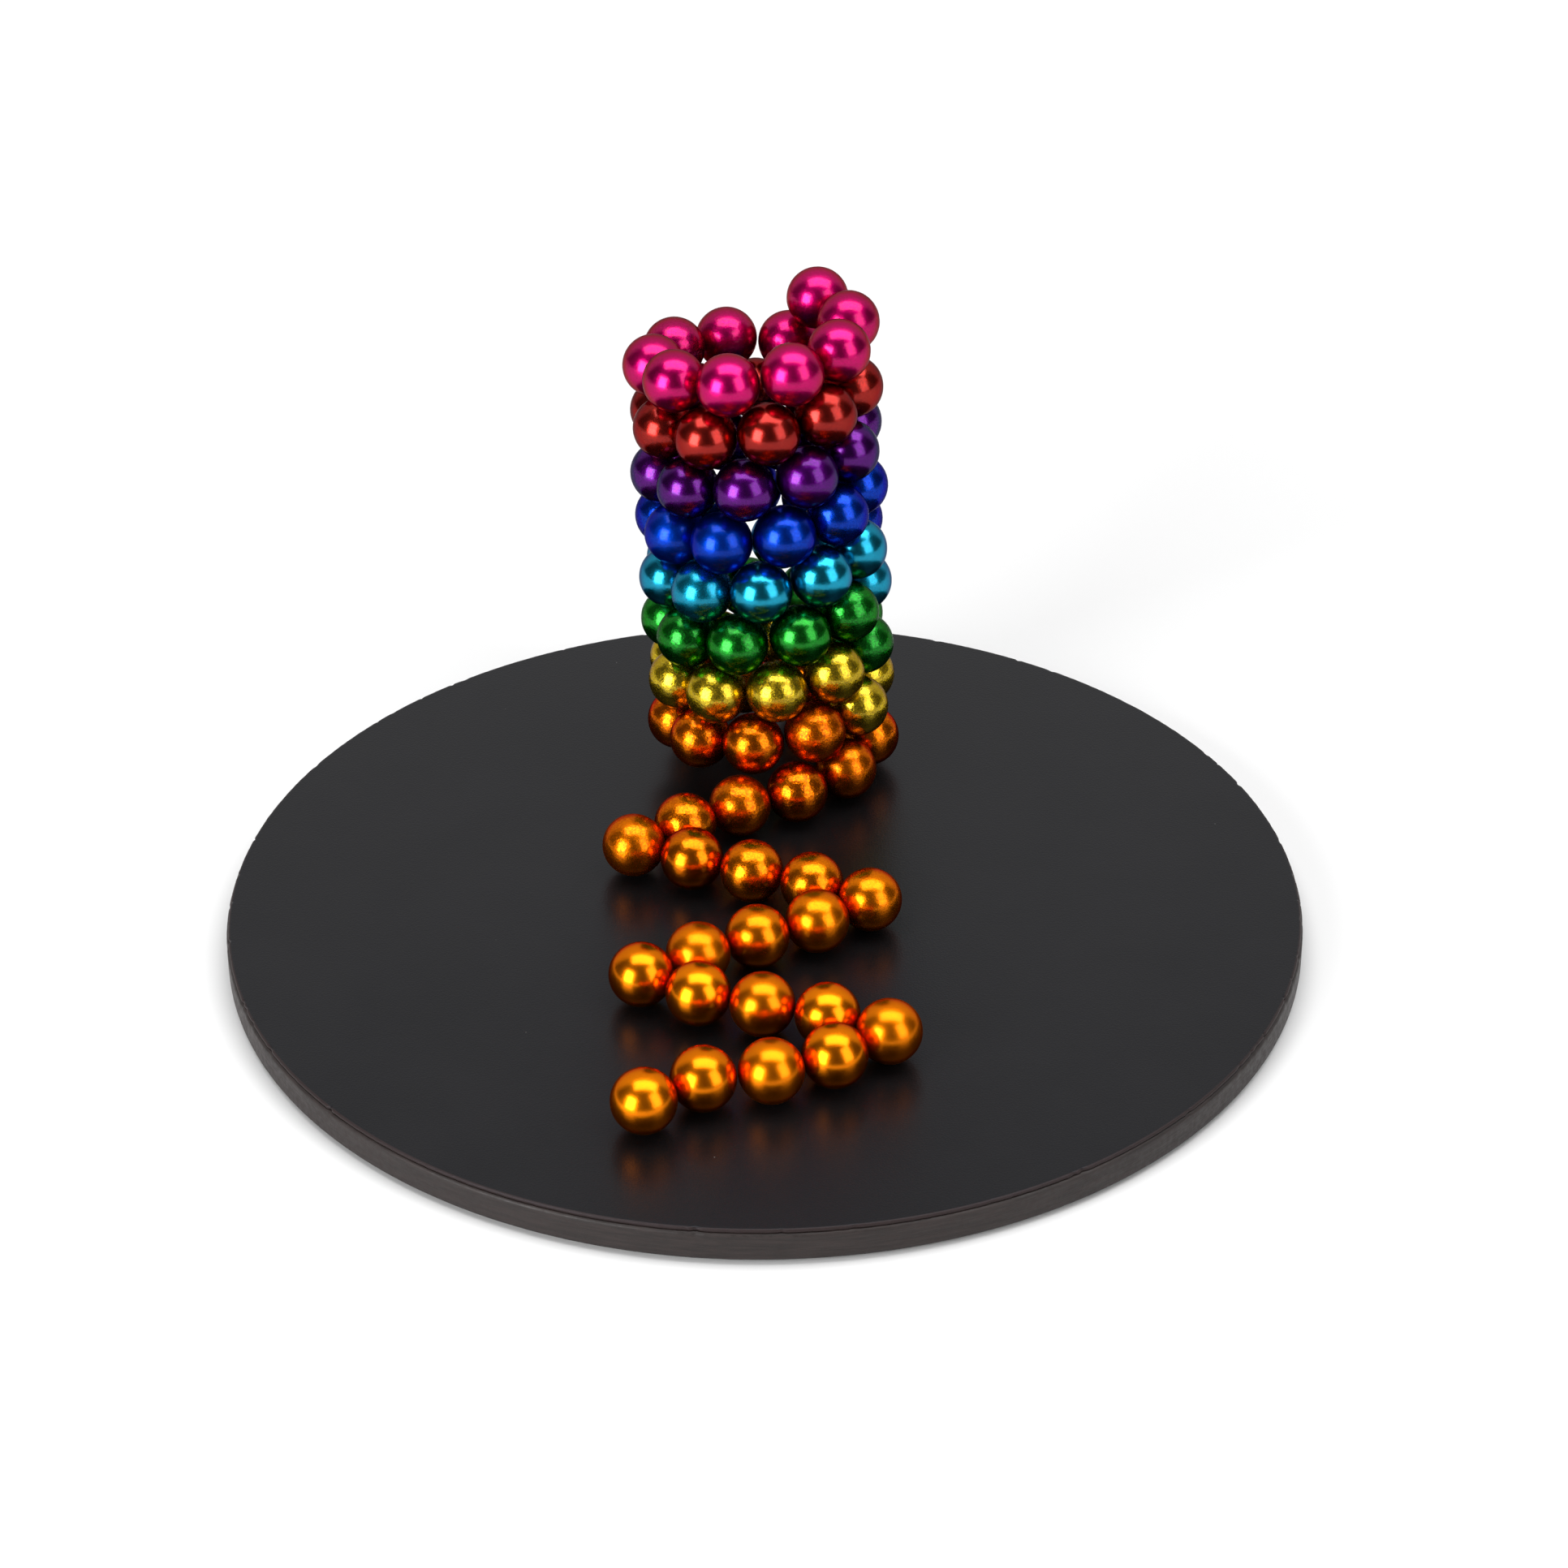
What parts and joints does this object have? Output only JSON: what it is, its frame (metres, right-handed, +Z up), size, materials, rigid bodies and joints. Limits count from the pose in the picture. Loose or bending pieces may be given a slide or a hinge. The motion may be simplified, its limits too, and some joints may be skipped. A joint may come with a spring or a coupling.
{
  "type": "magnetic desk sculpture",
  "caption": "Chain of small coloured magnet balls on a round dark base plate, laid in zigzag runs at the front and coiled up into a leaning tower at the back.",
  "frame": {"origin": "centre of the base plate's underside, where it rests on the desk", "axes": "+Z up, -Y towards the front where the chain's free tip lies, +X to the right"},
  "size_m": [0.085, 0.085, 0.0438],
  "materials": {
    "top_cover": "fine pebble grain, satin black",
    "steel_core": "matt grey-brown with long fine streaks and nicks",
    "foot_pad": "matt black",
    "orange_lacquer": "tinted lacquer over bright metal, finely crystalline",
    "yellow_lacquer": "tinted lacquer over bright metal, finely crystalline",
    "green_lacquer": "tinted lacquer over bright metal, finely crystalline",
    "teal_lacquer": "tinted lacquer over bright metal, finely crystalline",
    "blue_lacquer": "tinted lacquer over bright metal, finely crystalline",
    "violet_lacquer": "tinted lacquer over bright metal, finely crystalline",
    "red_lacquer": "tinted lacquer over bright metal, finely crystalline",
    "magenta_lacquer": "tinted lacquer over bright metal, finely crystalline"
  },
  "bodies": {
    "base": {"base_foot_pad": "foot_pad", "base_steel_core": "steel_core", "base_top_cover": "top_cover", "tail_ball_21": "orange_lacquer"},
    "tail_run_1": {"tail_ball_20": "orange_lacquer", "tail_ball_19": "orange_lacquer", "tail_ball_18": "orange_lacquer", "tail_ball_17": "orange_lacquer"},
    "tail_run_2": {"tail_ball_16": "orange_lacquer", "tail_ball_15": "orange_lacquer", "tail_ball_14": "orange_lacquer", "tail_ball_13": "orange_lacquer"},
    "tail_run_3": {"tail_ball_12": "orange_lacquer", "tail_ball_11": "orange_lacquer", "tail_ball_10": "orange_lacquer", "tail_ball_09": "orange_lacquer"},
    "tail_run_4": {"tail_ball_08": "orange_lacquer", "tail_ball_07": "orange_lacquer", "tail_ball_06": "orange_lacquer", "tail_ball_05": "orange_lacquer"},
    "tail_run_5": {"tail_ball_04": "orange_lacquer", "tail_ball_03": "orange_lacquer", "tail_ball_02": "orange_lacquer", "tail_ball_01": "orange_lacquer"},
    "orange_coil": {"orange_coil_1": "orange_lacquer", "orange_coil_2": "orange_lacquer"},
    "yellow_coil": {"yellow_coil_1": "yellow_lacquer", "yellow_coil_2": "yellow_lacquer", "yellow_coil_3": "yellow_lacquer", "yellow_coil_4": "yellow_lacquer"},
    "green_coil": {"green_coil_1": "green_lacquer", "green_coil_2": "green_lacquer", "green_coil_3": "green_lacquer", "green_coil_4": "green_lacquer"},
    "teal_coil": {"teal_coil_1": "teal_lacquer", "teal_coil_2": "teal_lacquer", "teal_coil_3": "teal_lacquer", "teal_coil_4": "teal_lacquer"},
    "blue_coil": {"blue_coil_1": "blue_lacquer", "blue_coil_2": "blue_lacquer", "blue_coil_3": "blue_lacquer", "blue_coil_4": "blue_lacquer"},
    "violet_coil": {"violet_coil_1": "violet_lacquer", "violet_coil_2": "violet_lacquer", "violet_coil_3": "violet_lacquer", "violet_coil_4": "violet_lacquer"},
    "red_coil": {"red_coil_1": "red_lacquer", "red_coil_2": "red_lacquer", "red_coil_3": "red_lacquer", "red_coil_4": "red_lacquer"},
    "magenta_coil": {"magenta_ball_10": "magenta_lacquer", "magenta_ball_09": "magenta_lacquer", "magenta_ball_08": "magenta_lacquer", "magenta_ball_07": "magenta_lacquer", "magenta_ball_06": "magenta_lacquer", "magenta_ball_05": "magenta_lacquer", "magenta_ball_04": "magenta_lacquer", "magenta_ball_03": "magenta_lacquer", "magenta_ball_02": "magenta_lacquer"},
    "magenta_tip": {"magenta_ball_01": "magenta_lacquer"}
  },
  "joints": [
    {"name": "tail_corner_1", "type": "hinge", "parent": "base", "child": "tail_run_1", "pos_m": [0.00665, 0.01482, 0.00565], "axis": [0, 0, 1], "range_deg": [0, 8]},
    {"name": "tail_corner_2", "type": "hinge", "parent": "tail_run_1", "child": "tail_run_2", "pos_m": [-0.01042, 0.00358, 0.00565], "axis": [0, 0, -1], "range_deg": [0, 10]},
    {"name": "tail_corner_3", "type": "hinge", "parent": "tail_run_2", "child": "tail_run_3", "pos_m": [0.00827, -0.00435, 0.00565], "axis": [0, 0, 1], "range_deg": [0, 12]},
    {"name": "tail_corner_4", "type": "hinge", "parent": "tail_run_3", "child": "tail_run_4", "pos_m": [-0.00937, -0.01433, 0.00565], "axis": [0, 0, -1], "range_deg": [0, 12]},
    {"name": "tail_corner_5", "type": "hinge", "parent": "tail_run_4", "child": "tail_run_5", "pos_m": [0.00937, -0.0219, 0.00565], "axis": [0, 0, 1], "range_deg": [0, 16]},
    {"name": "orange_lift", "type": "slide", "parent": "base", "child": "orange_coil", "axis": [-0.0452, 0.0958, 0.9944], "range_m": [0, 0.01]},
    {"name": "yellow_lift", "type": "slide", "parent": "orange_coil", "child": "yellow_coil", "axis": [-0.0452, 0.0958, 0.9944], "range_m": [0, 0.01]},
    {"name": "green_lift", "type": "slide", "parent": "yellow_coil", "child": "green_coil", "axis": [-0.0452, 0.0958, 0.9944], "range_m": [0, 0.01]},
    {"name": "teal_lift", "type": "slide", "parent": "green_coil", "child": "teal_coil", "axis": [-0.0452, 0.0958, 0.9944], "range_m": [0, 0.01]},
    {"name": "blue_lift", "type": "slide", "parent": "teal_coil", "child": "blue_coil", "axis": [-0.0452, 0.0958, 0.9944], "range_m": [0, 0.01]},
    {"name": "violet_lift", "type": "slide", "parent": "blue_coil", "child": "violet_coil", "axis": [-0.0452, 0.0958, 0.9944], "range_m": [0, 0.01]},
    {"name": "red_lift", "type": "slide", "parent": "violet_coil", "child": "red_coil", "axis": [-0.0452, 0.0958, 0.9944], "range_m": [0, 0.01]},
    {"name": "magenta_lift", "type": "slide", "parent": "red_coil", "child": "magenta_coil", "axis": [-0.0452, 0.0958, 0.9944], "range_m": [0, 0.01]},
    {"name": "magenta_tip_swing", "type": "hinge", "parent": "magenta_coil", "child": "magenta_tip", "pos_m": [0.0069, 0.02478, 0.04131], "axis": [0.0452, -0.0958, -0.9944], "range_deg": [0, 90]}
  ]
}
